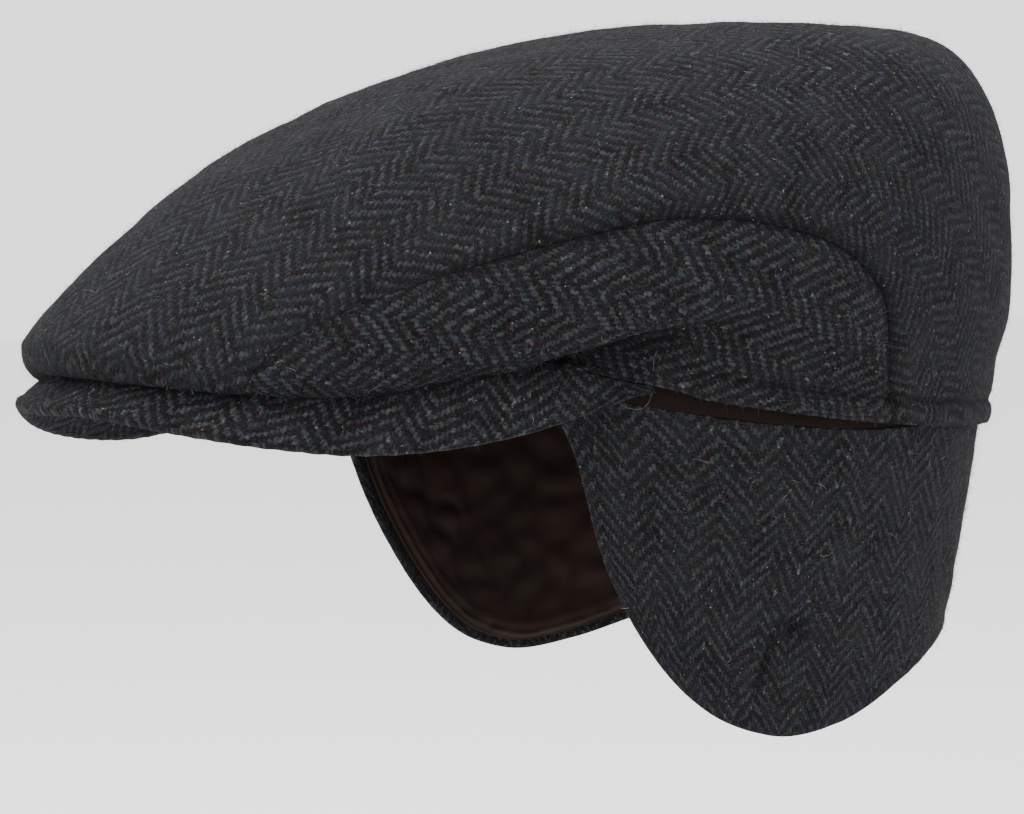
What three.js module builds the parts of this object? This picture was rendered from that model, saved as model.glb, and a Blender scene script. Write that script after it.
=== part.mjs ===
// A tweed flat cap with earflaps, in millimetres, in the shape it has when it is worn.
// +Z is up, the peak points to -Y and the wearer's left is +X. The origin is the centre of the
// head opening, level with the lower edge of the cap above the ears.
import * as THREE from 'three';

// Driving dimensions
const hemHalfWidth = 88;
const hemHalfLength = 106;
const hemSlope = 0.151;
const hemSag = 0.0007;
const clothThickness = 2.3;
const gap = 0.3;

const crownHeight = 96;
const crownPeakY = 38;
const crownClearance = 0.95;
const foldShare = 0.16;

const peakCornerAngle = 73;
const peakHalfWidth = 85.5;
const peakCornerY = -31;
const peakReach = 125.3;
const peakRoundness = 0.95;
const peakThickness = 4;
const peakCornerThickness = 1;
const peakBulge = 3;
const peakSeamInset = 2.1;

const bandHeight = 14;
const bandThickness = 1.2;
const bandClearance = 0.3;

const flapThickness = 2.2;
const flapWidthLoss = 0.147;
const flapLengthLoss = 0.358;
const flapShift = 0.153;
const rightFlapLoss = 5.5;
const rightFlapTurn = 1.2;
const liningThickness = 2;
const liningInset = 2.5;
const liningRise = 6;

// The crown's fold, round one side from the centre front (hem angle 0) to the centre back (180).
// onPeak: how far out on the peak the cloth starts, 0 at the hem and 1 at the peak's edge.
// swell and lift: how far the fold stands out from that line, and how high above it.
// out and rise: the way the cloth leaves the line. drop: the height of the fold's round.
const foldRows = [
  { hemAngle: 0, onPeak: 0.82, swell: 6.4, lift: 8.4, out: 5, rise: 0, drop: 5 },
  { hemAngle: 11, onPeak: 0.83, swell: 5.8, lift: 7.6, out: 5, rise: 0, drop: 5 },
  { hemAngle: 22, onPeak: 0.8, swell: 5.8, lift: 7.6, out: 5, rise: 0, drop: 5 },
  { hemAngle: 33, onPeak: 0.74, swell: 6.6, lift: 8.6, out: 5, rise: 1, drop: 6 },
  { hemAngle: 44, onPeak: 0.62, swell: 8.2, lift: 10, out: 5, rise: 1, drop: 8 },
  { hemAngle: 55, onPeak: 0.27, swell: 9.6, lift: 13, out: 6, rise: 2, drop: 10 },
  { hemAngle: 65, onPeak: 0, swell: 9.6, lift: 17.5, out: 4, rise: 9, drop: 13 },
  { hemAngle: 78, onPeak: 0, swell: 7.4, lift: 26, out: 0, rise: 14, drop: 14 },
  { hemAngle: 95, onPeak: 0, swell: 6.2, lift: 30.5, out: 0, rise: 12, drop: 12 },
  { hemAngle: 115, onPeak: 0, swell: 6.3, lift: 33.5, out: 0, rise: 12, drop: 12 },
  { hemAngle: 140, onPeak: 0, swell: 5.9, lift: 35, out: 0, rise: 12, drop: 14 },
  { hemAngle: 162, onPeak: 0, swell: 4.8, lift: 37, out: 0, rise: 12, drop: 14 },
  { hemAngle: 180, onPeak: 0, swell: 4.5, lift: 38, out: 0, rise: 12, drop: 14 },
];

// The dome above the fold. Larger values are squarer, fullness from side to side and shoulder
// from the fold up to the top.
const domeRows = [
  { hemAngle: 0, fullness: 2.25, shoulder: 1.11 },
  { hemAngle: 11, fullness: 2.2, shoulder: 1.18 },
  { hemAngle: 22, fullness: 2.15, shoulder: 1.35 },
  { hemAngle: 33, fullness: 2.15, shoulder: 1.62 },
  { hemAngle: 44, fullness: 2.2, shoulder: 1.8 },
  { hemAngle: 55, fullness: 2.3, shoulder: 1.88 },
  { hemAngle: 65, fullness: 2.5, shoulder: 1.95 },
  { hemAngle: 78, fullness: 2.9, shoulder: 2.1 },
  { hemAngle: 95, fullness: 3.3, shoulder: 2.3 },
  { hemAngle: 115, fullness: 4, shoulder: 2.55 },
  { hemAngle: 140, fullness: 5, shoulder: 2.8 },
  { hemAngle: 162, fullness: 5.5, shoulder: 2.85 },
  { hemAngle: 180, fullness: 5.5, shoulder: 2.8 },
];

// The seam between the top panel and a side panel, from the front fold to the back of the hem.
// along: share of the way from front to back. height: 0 at the crown's lower edge, 1 at its top.
const seamRows = [
  { along: 0, hemAngle: 32, height: 0 },
  { along: 0.03, hemAngle: 32.2, height: 0.05 },
  { along: 0.06, hemAngle: 32.9, height: 0.11 },
  { along: 0.085, hemAngle: 34.7, height: 0.163 },
  { along: 0.12, hemAngle: 39, height: 0.207 },
  { along: 0.16, hemAngle: 44, height: 0.236 },
  { along: 0.22, hemAngle: 51, height: 0.25 },
  { along: 0.3, hemAngle: 60, height: 0.266 },
  { along: 0.4, hemAngle: 70, height: 0.287 },
  { along: 0.5, hemAngle: 80.5, height: 0.293 },
  { along: 0.6, hemAngle: 91, height: 0.279 },
  { along: 0.68, hemAngle: 99, height: 0.245 },
  { along: 0.75, hemAngle: 104.3, height: 0.192 },
  { along: 0.8, hemAngle: 106.8, height: 0.152 },
  { along: 0.88, hemAngle: 108.7, height: 0.09 },
  { along: 1, hemAngle: 111, height: 0 },
];
const seamFrontCorner = 0.085;
const seamBackCorner = 0.8;
const rowsInCorner = 7;
const rowsAlongSeam = 20;
const columnsAcrossTop = 26;

// The peak's edge, from the centre front to its corner. edgeHeight: z of the upper edge.
// lean: how much higher that is on the left and lower on the right, where the peak is bent more.
// lift: how far the cap's lower edge is raised by the peak sewn under it.
const peakRows = [
  { hemAngle: 0, edgeHeight: 1.3, lean: 0, lift: 4 },
  { hemAngle: 12, edgeHeight: 1.1, lean: 0.6, lift: 4 },
  { hemAngle: 20, edgeHeight: -2, lean: 1.9, lift: 4 },
  { hemAngle: 28.5, edgeHeight: -5.4, lean: 2.6, lift: 3.9 },
  { hemAngle: 36.5, edgeHeight: -8, lean: 2.7, lift: 3.7 },
  { hemAngle: 44.5, edgeHeight: -9.4, lean: 2.3, lift: 3.3 },
  { hemAngle: 52.5, edgeHeight: -8.1, lean: 1.6, lift: 2.7 },
  { hemAngle: 61, edgeHeight: -3.8, lean: 0.8, lift: 2 },
  { hemAngle: 67, edgeHeight: 1.2, lean: 0.3, lift: 1.5 },
  { hemAngle: 73, edgeHeight: 5.8, lean: 0, lift: 1.2 },
  { hemAngle: 76, edgeHeight: 5.8, lean: 0, lift: 1 },
  { hemAngle: 81, edgeHeight: 5.8, lean: 0, lift: 0 },
  { hemAngle: 180, edgeHeight: 5.8, lean: 0, lift: 0 },
];

// The lower outline of an earflap, from its front edge to the centre back.
const flapFrontRows = [
  { along: 0, hemAngle: 57.4, depth: 4 },
  { along: 0.3, hemAngle: 59.8, depth: 20.5 },
  { along: 0.65, hemAngle: 61.2, depth: 43 },
  { along: 1, hemAngle: 62.8, depth: 62.5 },
];
const flapBottomRows = [
  { along: 0, hemAngle: 62.8, depth: 62.5 },
  { along: 0.08, hemAngle: 67, depth: 71.5 },
  { along: 0.18, hemAngle: 75, depth: 79.4 },
  { along: 0.28, hemAngle: 86, depth: 81.9 },
  { along: 0.42, hemAngle: 103, depth: 76.4 },
  { along: 0.56, hemAngle: 122, depth: 64.3 },
  { along: 0.72, hemAngle: 141, depth: 55.5 },
  { along: 0.86, hemAngle: 160, depth: 52 },
  { along: 1, hemAngle: 180, depth: 51 },
];
// The top edge of the earflaps below the hem, which leaves a strip of the band in sight.
const flapTopRows = [
  { hemAngle: 0, depth: 1 },
  { hemAngle: 57.4, depth: 4 },
  { hemAngle: 75, depth: 3.8 },
  { hemAngle: 100, depth: 2.4 },
  { hemAngle: 125, depth: 0.8 },
  { hemAngle: 180, depth: 0.8 },
];

const degrees = Math.PI / 180;

// A smooth curve through the rows of a table. The first column is the place. The curve is level
// at each end, so that it can be mirrored there, and doesn't pass the rows' own highs and lows.
// Answers one value for each other column.
function smoothTable(rows, levelEnds = true) {
  const [placeName, ...names] = Object.keys(rows[0]);
  const places = rows.map((row) => row[placeName]);
  const last = rows.length - 1;
  const slope = (name, i) => {
    if (i === 0 || i === last) {
      if (levelEnds) return 0;
      const j = i === 0 ? 0 : last - 1;
      return (rows[j + 1][name] - rows[j][name]) / (places[j + 1] - places[j]);
    }
    const before = places[i] - places[i - 1];
    const after = places[i + 1] - places[i];
    const steepBefore = (rows[i][name] - rows[i - 1][name]) / before;
    const steepAfter = (rows[i + 1][name] - rows[i][name]) / after;
    if (steepBefore * steepAfter <= 0) return 0;
    return (steepBefore * after + steepAfter * before) / (before + after);
  };
  return (place) => {
    const at = THREE.MathUtils.clamp(place, places[0], places[last]);
    let i = 0;
    while (i < last - 1 && at > places[i + 1]) i += 1;
    const step = places[i + 1] - places[i];
    const t = (at - places[i]) / step;
    const values = {};
    for (const name of names) {
      const rise = rows[i + 1][name] - rows[i][name];
      const leaving = (t ** 3 - 2 * t ** 2 + t) * step * slope(name, i);
      const arriving = (t ** 3 - t ** 2) * step * slope(name, i + 1);
      values[name] = rows[i][name] + (3 * t ** 2 - 2 * t ** 3) * rise + leaving + arriving;
    }
    return values;
  };
}

const foldAt = smoothTable(foldRows);
const domeAt = smoothTable(domeRows);
const peakAt = smoothTable(peakRows);
const seamAt = smoothTable(seamRows, false);
const flapFrontAt = smoothTable(flapFrontRows, false);
const flapBottomAt = smoothTable(flapBottomRows, false);
const flapTopAt = smoothTable(flapTopRows);

function hemHeight(y) {
  return hemSag * y * y - hemSlope * y;
}

// Brings an angle into -180 to 180.
function around(angle) {
  return THREE.MathUtils.euclideanModulo(angle + 180, 360) - 180;
}

// A point of the hem's oval, made smaller by an inset. Angle 0 is the centre front.
function oval(angle, inset = 0) {
  const x = (hemHalfWidth - inset) * Math.sin(angle * degrees);
  const y = -(hemHalfLength - inset) * Math.cos(angle * degrees);
  return new THREE.Vector3(x, y, hemHeight(-hemHalfLength * Math.cos(angle * degrees)));
}

// The upper face of the peak. out is 0 at the hem and 1 at the peak's edge.
function peakTop(angle, out) {
  const size = Math.abs(angle);
  const row = peakAt(size);
  const inner = oval(angle);
  inner.z += row.lift;
  const side = Math.sign(angle);
  const turn = Math.min(size / peakCornerAngle, 1) * 90 * degrees;
  const edge = new THREE.Vector3(
    side * peakHalfWidth * Math.sin(turn) ** peakRoundness,
    peakCornerY - peakReach * Math.cos(turn),
    row.edgeHeight + side * row.lean,
  );
  const point = inner.lerp(edge, out);
  const flattening = 1 - THREE.MathUtils.smoothstep(size, 40, peakCornerAngle);
  point.z += peakBulge * 4 * out * (1 - out) * flattening;
  return point;
}

// The outer face of the crown. height is 0 at its lower edge, foldShare at the widest line of
// the fold and 1 at the top.
function crownPoint(angle, height) {
  const size = Math.abs(around(angle));
  const fold = foldAt(size);
  const dome = domeAt(size);
  const base = peakTop(around(angle), fold.onPeak);
  base.z += crownClearance * THREE.MathUtils.smoothstep(peakAt(size).lift, 0, 1);
  const away = new THREE.Vector2(base.x, base.y - crownPeakY);
  const baseReach = away.length();
  away.normalize();
  const foldReach = baseReach + fold.swell;
  const foldZ = base.z + fold.lift;
  let reach;
  let z;
  if (height < foldShare) {
    const t = height / foldShare;
    const b = [(1 - t) ** 3, 3 * (1 - t) ** 2 * t, 3 * (1 - t) * t * t, t ** 3];
    reach = b[0] * baseReach + b[1] * (baseReach + fold.out) + (b[2] + b[3]) * foldReach;
    z = b[0] * base.z + b[1] * (base.z + fold.rise) + b[2] * (foldZ - fold.drop) + b[3] * foldZ;
  } else {
    const up = Math.sin(Math.min((height - foldShare) / (1 - foldShare), 1) * Math.PI / 2);
    reach = foldReach * Math.max(1 - up ** dome.shoulder, 0) ** (1 / dome.fullness);
    z = foldZ + (crownHeight - foldZ) * up;
  }
  return new THREE.Vector3(away.x * reach, crownPeakY + away.y * reach, z);
}

// The crown as a round chart: the centre is its top and the rim is its lower edge.
function chart(angle, height) {
  const rim = new THREE.Vector2(Math.sin(angle * degrees), -Math.cos(angle * degrees));
  return rim.multiplyScalar(1 - height);
}

function crownFromChart(place) {
  const distance = Math.min(place.length(), 1);
  const angle = Math.atan2(place.x, -place.y) / degrees;
  return crownPoint(angle, 1 - distance);
}

// The direction out of a surface at a place, from two steps across it.
function normalOf(surface, place, step) {
  const east = surface(place.clone().add(new THREE.Vector2(step, 0)));
  const west = surface(place.clone().add(new THREE.Vector2(-step, 0)));
  const north = surface(place.clone().add(new THREE.Vector2(0, step)));
  const south = surface(place.clone().add(new THREE.Vector2(0, -step)));
  return east.sub(west).cross(north.sub(south)).normalize();
}

// A four-sided patch between curves: left and right run with v, bottom and top run with u.
function patch(left, right, bottom, top) {
  const corner = [left(0), right(0), left(1), right(1)];
  return (u, v) => {
    const sides = left(v).multiplyScalar(1 - u).add(right(v).multiplyScalar(u));
    const ends = bottom(u).multiplyScalar(1 - v).add(top(u).multiplyScalar(v));
    const low = corner[0].clone().lerp(corner[1], u);
    const high = corner[2].clone().lerp(corner[3], u);
    return sides.add(ends).sub(low.lerp(high, v));
  };
}

// A closed solid between two grids of points, face[i][j] outside and back[i][j] inside.
// ring joins the last row to the first.
function sheetSolid(face, back, ring = false) {
  const rows = face.length;
  const columns = face[0].length;
  const positions = [...face.flat(), ...back.flat()].flatMap((p) => [p.x, p.y, p.z]);
  const offset = rows * columns;
  const indices = [];
  const quad = (a, b, c, d) => indices.push(a, b, c, a, c, d);
  const at = (i, j) => (i % rows) * columns + j;
  const steps = ring ? rows : rows - 1;
  for (let i = 0; i < steps; i += 1) {
    for (let j = 0; j < columns - 1; j += 1) {
      const [a, b, c, d] = [at(i, j), at(i + 1, j), at(i + 1, j + 1), at(i, j + 1)];
      quad(a, b, c, d);
      quad(offset + a, offset + d, offset + c, offset + b);
    }
    quad(at(i + 1, 0), at(i, 0), offset + at(i, 0), offset + at(i + 1, 0));
    const end = columns - 1;
    quad(at(i, end), at(i + 1, end), offset + at(i + 1, end), offset + at(i, end));
  }
  if (!ring) {
    for (let j = 0; j < columns - 1; j += 1) {
      const end = rows - 1;
      quad(at(0, j), at(0, j + 1), offset + at(0, j + 1), offset + at(0, j));
      quad(at(end, j + 1), at(end, j), offset + at(end, j), offset + at(end, j + 1));
    }
  }
  const geometry = new THREE.BufferGeometry();
  geometry.setAttribute('position', new THREE.Float32BufferAttribute(positions, 3));
  geometry.setIndex(indices);
  return geometry;
}

// Turns a solid's faces over if they point inwards.
function facingOut(geometry) {
  const p = geometry.attributes.position;
  const index = geometry.index.array;
  const [a, b, c] = [new THREE.Vector3(), new THREE.Vector3(), new THREE.Vector3()];
  let volume = 0;
  for (let i = 0; i < index.length; i += 3) {
    a.fromBufferAttribute(p, index[i]);
    b.fromBufferAttribute(p, index[i + 1]);
    c.fromBufferAttribute(p, index[i + 2]);
    volume += a.dot(b.cross(c));
  }
  if (volume < 0) {
    for (let i = 0; i < index.length; i += 3) {
      [index[i + 1], index[i + 2]] = [index[i + 2], index[i + 1]];
    }
  }
  geometry.computeVertexNormals();
  return geometry;
}

// A cloth panel of the crown over a grid of chart places.
function crownPanel(places) {
  const chartStep = 0.004;
  const furthest = 1 - 1.5 * chartStep;
  const face = places.map((row) => row.map((place) => crownFromChart(place)));
  const back = places.map((row, i) => row.map((place, j) => {
    const normal = normalOf(crownFromChart, place.clone().clampLength(0, furthest), chartStep);
    return face[i][j].clone().addScaledVector(normal, -clothThickness);
  }));
  return facingOut(sheetSolid(face, back));
}

// The shares along the seam at which both panels have their points.
function seamShares() {
  const shares = [];
  for (let i = 0; i < rowsInCorner; i += 1) shares.push(seamFrontCorner * i / rowsInCorner);
  for (let i = 0; i < rowsAlongSeam; i += 1) {
    shares.push(THREE.MathUtils.lerp(seamFrontCorner, seamBackCorner, i / rowsAlongSeam));
  }
  for (let i = 0; i <= rowsInCorner; i += 1) {
    shares.push(THREE.MathUtils.lerp(seamBackCorner, 1, i / rowsInCorner));
  }
  return shares;
}

// A point of the seam in the chart, moved to one side of it by half of the gap between panels.
// The chart's radius of 1 stands for chartRadius of cloth.
function seamPlace(along, side, shift) {
  const chartRadius = 120;
  const at = (share) => {
    const row = seamAt(share);
    return chart(side * row.hemAngle, row.height);
  };
  const step = 0.002;
  const tangent = at(Math.min(along + step, 1)).sub(at(Math.max(along - step, 0))).normalize();
  const across = new THREE.Vector2(-tangent.y, tangent.x).multiplyScalar(side * shift);
  const place = at(along).addScaledVector(across, gap / 2 / chartRadius);
  if (along === 0 || along === 1) place.normalize();
  return place;
}

function topPanelGeometry() {
  const [start, end] = [seamPlace(0, 1, 1), seamPlace(1, 1, 1)];
  const frontAngle = Math.atan2(start.x, -start.y) / degrees;
  const backAngle = 180 - Math.atan2(end.x, -end.y) / degrees;
  const surface = patch(
    (v) => seamPlace(v, -1, 1),
    (v) => seamPlace(v, 1, 1),
    (u) => chart((2 * u - 1) * frontAngle, 0),
    (u) => chart(180 - (2 * u - 1) * backAngle, 0),
  );
  const places = seamShares().map((share) => {
    const row = [];
    for (let j = 0; j <= columnsAcrossTop; j += 1) row.push(surface(j / columnsAcrossTop, share));
    return row;
  });
  return crownPanel(places);
}

function sidePanelGeometry(side) {
  const [start, end] = [seamPlace(0, side, -1), seamPlace(1, side, -1)];
  const frontAngle = Math.atan2(start.x, -start.y) / degrees;
  const backAngle = Math.atan2(end.x, -end.y) / degrees;
  const surface = patch(
    (v) => seamPlace(v * seamFrontCorner, side, -1),
    (v) => seamPlace(THREE.MathUtils.lerp(1, seamBackCorner, v), side, -1),
    (u) => chart(THREE.MathUtils.lerp(frontAngle, backAngle, u), 0),
    (u) => seamPlace(THREE.MathUtils.lerp(seamFrontCorner, seamBackCorner, u), side, -1),
  );
  const places = [];
  for (let i = 0; i <= rowsAlongSeam; i += 1) {
    const row = [];
    for (let j = 0; j <= rowsInCorner; j += 1) {
      row.push(surface(i / rowsAlongSeam, j / rowsInCorner));
    }
    places.push(row);
  }
  return crownPanel(places);
}

// The peak: a stiff crescent under two layers of cloth, thickest in the middle and rounded off
// at its edge. Its inner edge runs just inside the hem's oval, under the cap's lower edge.
function peakGeometry() {
  const steps = 30;
  const outs = [0, 0.2, 0.4, 0.6, 0.78, 0.9, 0.96, 1];
  const edgeRounding = { from: 0.9, thinness: 0.75 };
  const seamShare = 0.4;
  const normalStep = 0.02;
  const face = [];
  const back = [];
  for (let i = 0; i <= steps; i += 1) {
    const angle = peakCornerAngle * (2 * i / steps - 1);
    const taper = THREE.MathUtils.smoothstep(Math.abs(angle), 40, peakCornerAngle);
    const thickness = THREE.MathUtils.lerp(peakThickness, peakCornerThickness, taper);
    // Straight up along the seam, so that the lower face stays clear of the band.
    const normalAt = (out) => {
      const limit = peakCornerAngle - 1;
      const place = new THREE.Vector2(THREE.MathUtils.clamp(angle, -limit, limit), out);
      const normal = normalOf((p) => peakTop(p.x, p.y), place, normalStep);
      normal.multiplyScalar(Math.sign(normal.z));
      const up = new THREE.Vector3(0, 0, 1);
      return up.lerp(normal, THREE.MathUtils.smoothstep(out, 0, seamShare)).normalize();
    };
    const inner = oval(angle, peakSeamInset);
    inner.z = peakTop(angle, 0).z;
    const faceRow = [inner];
    const backRow = [inner.clone().setZ(inner.z - thickness)];
    for (const out of outs) {
      const top = peakTop(angle, out);
      const normal = normalAt(out);
      const round = Math.max(out - edgeRounding.from, 0) / (1 - edgeRounding.from);
      const inset = thickness / 2 * (1 - Math.sqrt(1 - edgeRounding.thinness * round * round));
      faceRow.push(top.clone().addScaledVector(normal, -inset));
      backRow.push(top.clone().addScaledVector(normal, inset - thickness));
    }
    face.push(faceRow);
    back.push(backRow);
  }
  return facingOut(sheetSolid(face, back));
}

// A point below the hem on the outer face of the earflaps, or that far inside it.
function flapPoint(angle, depth, inset) {
  const clearance = clothThickness + bandClearance;
  const below = Math.max(depth, 0);
  const x = (hemHalfWidth - clearance - flapWidthLoss * below - inset) * Math.sin(angle * degrees);
  const halfLength = hemHalfLength - clearance - flapLengthLoss * below - inset;
  const y = flapShift * below - halfLength * Math.cos(angle * degrees);
  return new THREE.Vector3(x, y, oval(angle).z - depth);
}

// The outline of the earflaps as a patch of (hem angle, depth) places. margin draws it in from
// the front and lower edges, and rise lifts its top edge. The right flap is a little shorter,
// and its front edge is turned a little further back.
function flapPatch(margin, rise) {
  const marginAngle = margin / hemHalfWidth / degrees;
  const riseEnds = 0.4;
  const depthAt = (angle, depth) => {
    const rightShare = THREE.MathUtils.smoothstep(angle, 180, 260);
    return depth - rightFlapLoss * rightShare * THREE.MathUtils.smoothstep(depth, 20, 60) - margin;
  };
  const onSide = (side, hemAngle) => {
    const turn = rightFlapTurn * (1 - THREE.MathUtils.smoothstep(hemAngle, 64, 180));
    return side > 0 ? hemAngle : 360 - hemAngle - turn;
  };
  const front = (side) => (v) => {
    const row = flapFrontAt(v);
    const angle = onSide(side, row.hemAngle + marginAngle);
    const lowered = THREE.MathUtils.smoothstep(v, 0, riseEnds);
    return new THREE.Vector2(
      angle,
      THREE.MathUtils.lerp(row.depth - rise, depthAt(angle, row.depth), lowered),
    );
  };
  const bottom = (u) => {
    const row = flapBottomAt(1 - Math.abs(2 * u - 1));
    const drawnIn = marginAngle * (1 - THREE.MathUtils.smoothstep(row.hemAngle, 64, 90));
    const angle = onSide(u < 0.5 ? 1 : -1, row.hemAngle + drawnIn);
    return new THREE.Vector2(angle, depthAt(angle, row.depth));
  };
  const top = (u) => {
    const start = flapFrontRows[0].hemAngle + marginAngle;
    const angle = THREE.MathUtils.lerp(onSide(1, start), onSide(-1, start), u);
    return new THREE.Vector2(angle, flapTopAt(Math.abs(around(angle))).depth - rise);
  };
  return patch(front(1), front(-1), top, bottom);
}

// An earflap layer: its margin and rise, how far it lies inside the outer face, its thickness.
function flapSheet({ margin, rise, inset, thickness }) {
  const along = 56;
  const down = 8;
  const surface = flapPatch(margin, rise);
  const face = [];
  const back = [];
  for (let i = 0; i <= along; i += 1) {
    const places = [];
    for (let j = 0; j <= down; j += 1) places.push(surface(i / along, j / down));
    face.push(places.map((place) => flapPoint(place.x, place.y, inset)));
    back.push(places.map((place) => flapPoint(place.x, place.y, inset + thickness)));
  }
  return facingOut(sheetSolid(face, back));
}

// The band: a strip of cotton inside the lower edge of the cap, which reaches down to the top
// edge of the earflaps.
function bandGeometry() {
  const steps = 52;
  const face = [];
  const back = [];
  for (let i = 0; i < steps; i += 1) {
    const angle = 360 * i / steps;
    const flapTop = flapTopAt(Math.abs(around(angle))).depth;
    const depths = [-bandHeight, 0, flapTop - gap];
    face.push(depths.map((depth) => flapPoint(angle, depth, 0)));
    back.push(depths.map((depth) => flapPoint(angle, depth, bandThickness)));
  }
  return facingOut(sheetSolid(face, back, true));
}

function cloth(color, roughness) {
  return new THREE.MeshStandardMaterial({ color, roughness, metalness: 0 });
}

function piece(name, geometry, material) {
  const mesh = new THREE.Mesh(geometry, material);
  mesh.name = name;
  return mesh;
}

const shell = { margin: 0, rise: 0, inset: 0, thickness: flapThickness };
const lining = {
  margin: liningInset,
  rise: liningRise,
  inset: flapThickness + gap,
  thickness: liningThickness,
};
const tweedRoughness = 0.95;
const cottonRoughness = 0.8;
const satinRoughness = 0.45;

const cap = new THREE.Group();
cap.add(
  piece('crown_top_panel', topPanelGeometry(), cloth('#34383c', tweedRoughness)),
  piece('side_panel_left', sidePanelGeometry(1), cloth('#303439', tweedRoughness)),
  piece('side_panel_right', sidePanelGeometry(-1), cloth('#303439', tweedRoughness)),
  piece('peak', peakGeometry(), cloth('#2d3135', tweedRoughness)),
  piece('inner_band', bandGeometry(), cloth('#2a1a17', cottonRoughness)),
  piece('earflap_shell', flapSheet(shell), cloth('#33373c', tweedRoughness)),
  piece('earflap_lining', flapSheet(lining), cloth('#2b1d1b', satinRoughness)),
);

export default cap;
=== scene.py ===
import bpy
import math
import numpy as np
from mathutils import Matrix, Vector


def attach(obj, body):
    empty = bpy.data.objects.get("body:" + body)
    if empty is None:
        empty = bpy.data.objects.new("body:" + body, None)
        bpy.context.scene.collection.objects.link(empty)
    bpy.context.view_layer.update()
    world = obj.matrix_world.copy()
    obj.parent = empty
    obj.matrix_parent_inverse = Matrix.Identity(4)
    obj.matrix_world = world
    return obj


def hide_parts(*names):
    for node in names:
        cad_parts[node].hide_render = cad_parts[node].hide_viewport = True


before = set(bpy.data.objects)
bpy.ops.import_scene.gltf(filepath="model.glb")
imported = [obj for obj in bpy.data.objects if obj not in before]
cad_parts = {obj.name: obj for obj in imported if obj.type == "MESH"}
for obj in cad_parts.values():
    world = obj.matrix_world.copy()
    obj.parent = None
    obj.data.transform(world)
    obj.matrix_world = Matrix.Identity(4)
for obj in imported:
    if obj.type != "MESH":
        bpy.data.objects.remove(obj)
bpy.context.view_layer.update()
scene = bpy.context.scene

# The camera: a long lens a little above the cap's lower edge, off its left front.
azimuth, elevation = math.radians(61.9), math.radians(3.37)
distance = 0.951
backwards = Vector((
    math.sin(azimuth) * math.cos(elevation),
    -math.cos(azimuth) * math.cos(elevation),
    math.sin(elevation),
))
camera = bpy.data.objects.new("camera", bpy.data.cameras.new("camera"))
scene.collection.objects.link(camera)
scene.camera = camera
camera.location = backwards * distance
camera.rotation_mode = "QUATERNION"
camera.rotation_quaternion = (-backwards).to_track_quat("-Z", "Y")
camera.data.sensor_width = 36
camera.data.lens = 128.3
camera.data.shift_x = -0.0871
camera.data.shift_y = -0.0140
camera.data.clip_start, camera.data.clip_end = 0.05, 30

# The top panel of the crown: one piece of tweed from the front of the peak over the head to the
# back, full and soft. It folds under itself in front, where it lies on the peak, and two curved
# seams join it to the side panels. All lengths in this section and the next ones are in mm.

# The peak's edge by hem angle from the centre front: height, lean to the left, lift of the hem.
peak_rows = [
    (0, 1.3, 0, 4), (12, 1.1, 0.6, 4), (20, -2, 1.9, 4), (28.5, -5.4, 2.6, 3.9),
    (36.5, -8, 2.7, 3.7), (44.5, -9.4, 2.3, 3.3), (52.5, -8.1, 1.6, 2.7), (61, -3.8, 0.8, 2),
    (67, 1.2, 0.3, 1.5), (73, 5.8, 0, 1.2), (76, 5.8, 0, 1), (81, 5.8, 0, 0), (180, 5.8, 0, 0),
]
# The crown's fold by hem angle: share out on the peak, swell, lift, out, rise, drop.
fold_rows = [
    (0, 0.82, 6.4, 8.4, 5, 0, 5), (11, 0.83, 5.8, 7.6, 5, 0, 5), (22, 0.8, 5.8, 7.6, 5, 0, 5),
    (33, 0.74, 6.6, 8.6, 5, 1, 6), (44, 0.62, 8.2, 10, 5, 1, 8), (55, 0.27, 9.6, 13, 6, 2, 10),
    (65, 0, 9.6, 17.5, 4, 9, 13), (78, 0, 7.4, 26, 0, 14, 14), (95, 0, 6.2, 30.5, 0, 12, 12),
    (115, 0, 6.3, 33.5, 0, 12, 12), (140, 0, 5.9, 35, 0, 12, 14), (162, 0, 4.8, 37, 0, 12, 14),
    (180, 0, 4.5, 38, 0, 12, 14),
]
# The dome by hem angle: fullness and shoulder.
dome_rows = [
    (0, 2.25, 1.11), (11, 2.2, 1.18), (22, 2.15, 1.35), (33, 2.15, 1.62), (44, 2.2, 1.8),
    (55, 2.3, 1.88), (65, 2.5, 1.95), (78, 2.9, 2.1), (95, 3.3, 2.3), (115, 4, 2.55),
    (140, 5, 2.8), (162, 5.5, 2.85), (180, 5.5, 2.8),
]
# The seam from the front fold to the back of the hem: share of the way, hem angle, height.
seam_rows = [
    (0, 32, 0), (0.03, 32.2, 0.05), (0.06, 32.9, 0.11), (0.085, 34.7, 0.163), (0.12, 39, 0.207),
    (0.16, 44, 0.236), (0.22, 51, 0.25), (0.3, 60, 0.266), (0.4, 70, 0.287), (0.5, 80.5, 0.293),
    (0.6, 91, 0.279), (0.68, 99, 0.245), (0.75, 104.3, 0.192), (0.8, 106.8, 0.152),
    (0.88, 108.7, 0.09), (1, 111, 0),
]
# The hem is an oval that slopes and sags from front to back. The peak's edge is a wider curve.
hem_half_width, hem_half_length, hem_slope, hem_sag = 88, 106, 0.151, 0.0007
peak_corner_angle, peak_half_width, peak_corner_y = 73, 85.5, -31
peak_reach, peak_roundness, peak_bulge = 125.3, 0.95, 3
fold_share = 0.16
crown_top_y, crown_top_z = 38, 96
seam_clearance = 0.15
cloth_thickness = 2.3


def smoothstep(x, low, high):
    t = np.clip((x - low) / (high - low), 0, 1)
    return t * t * (3 - 2 * t)


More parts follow.
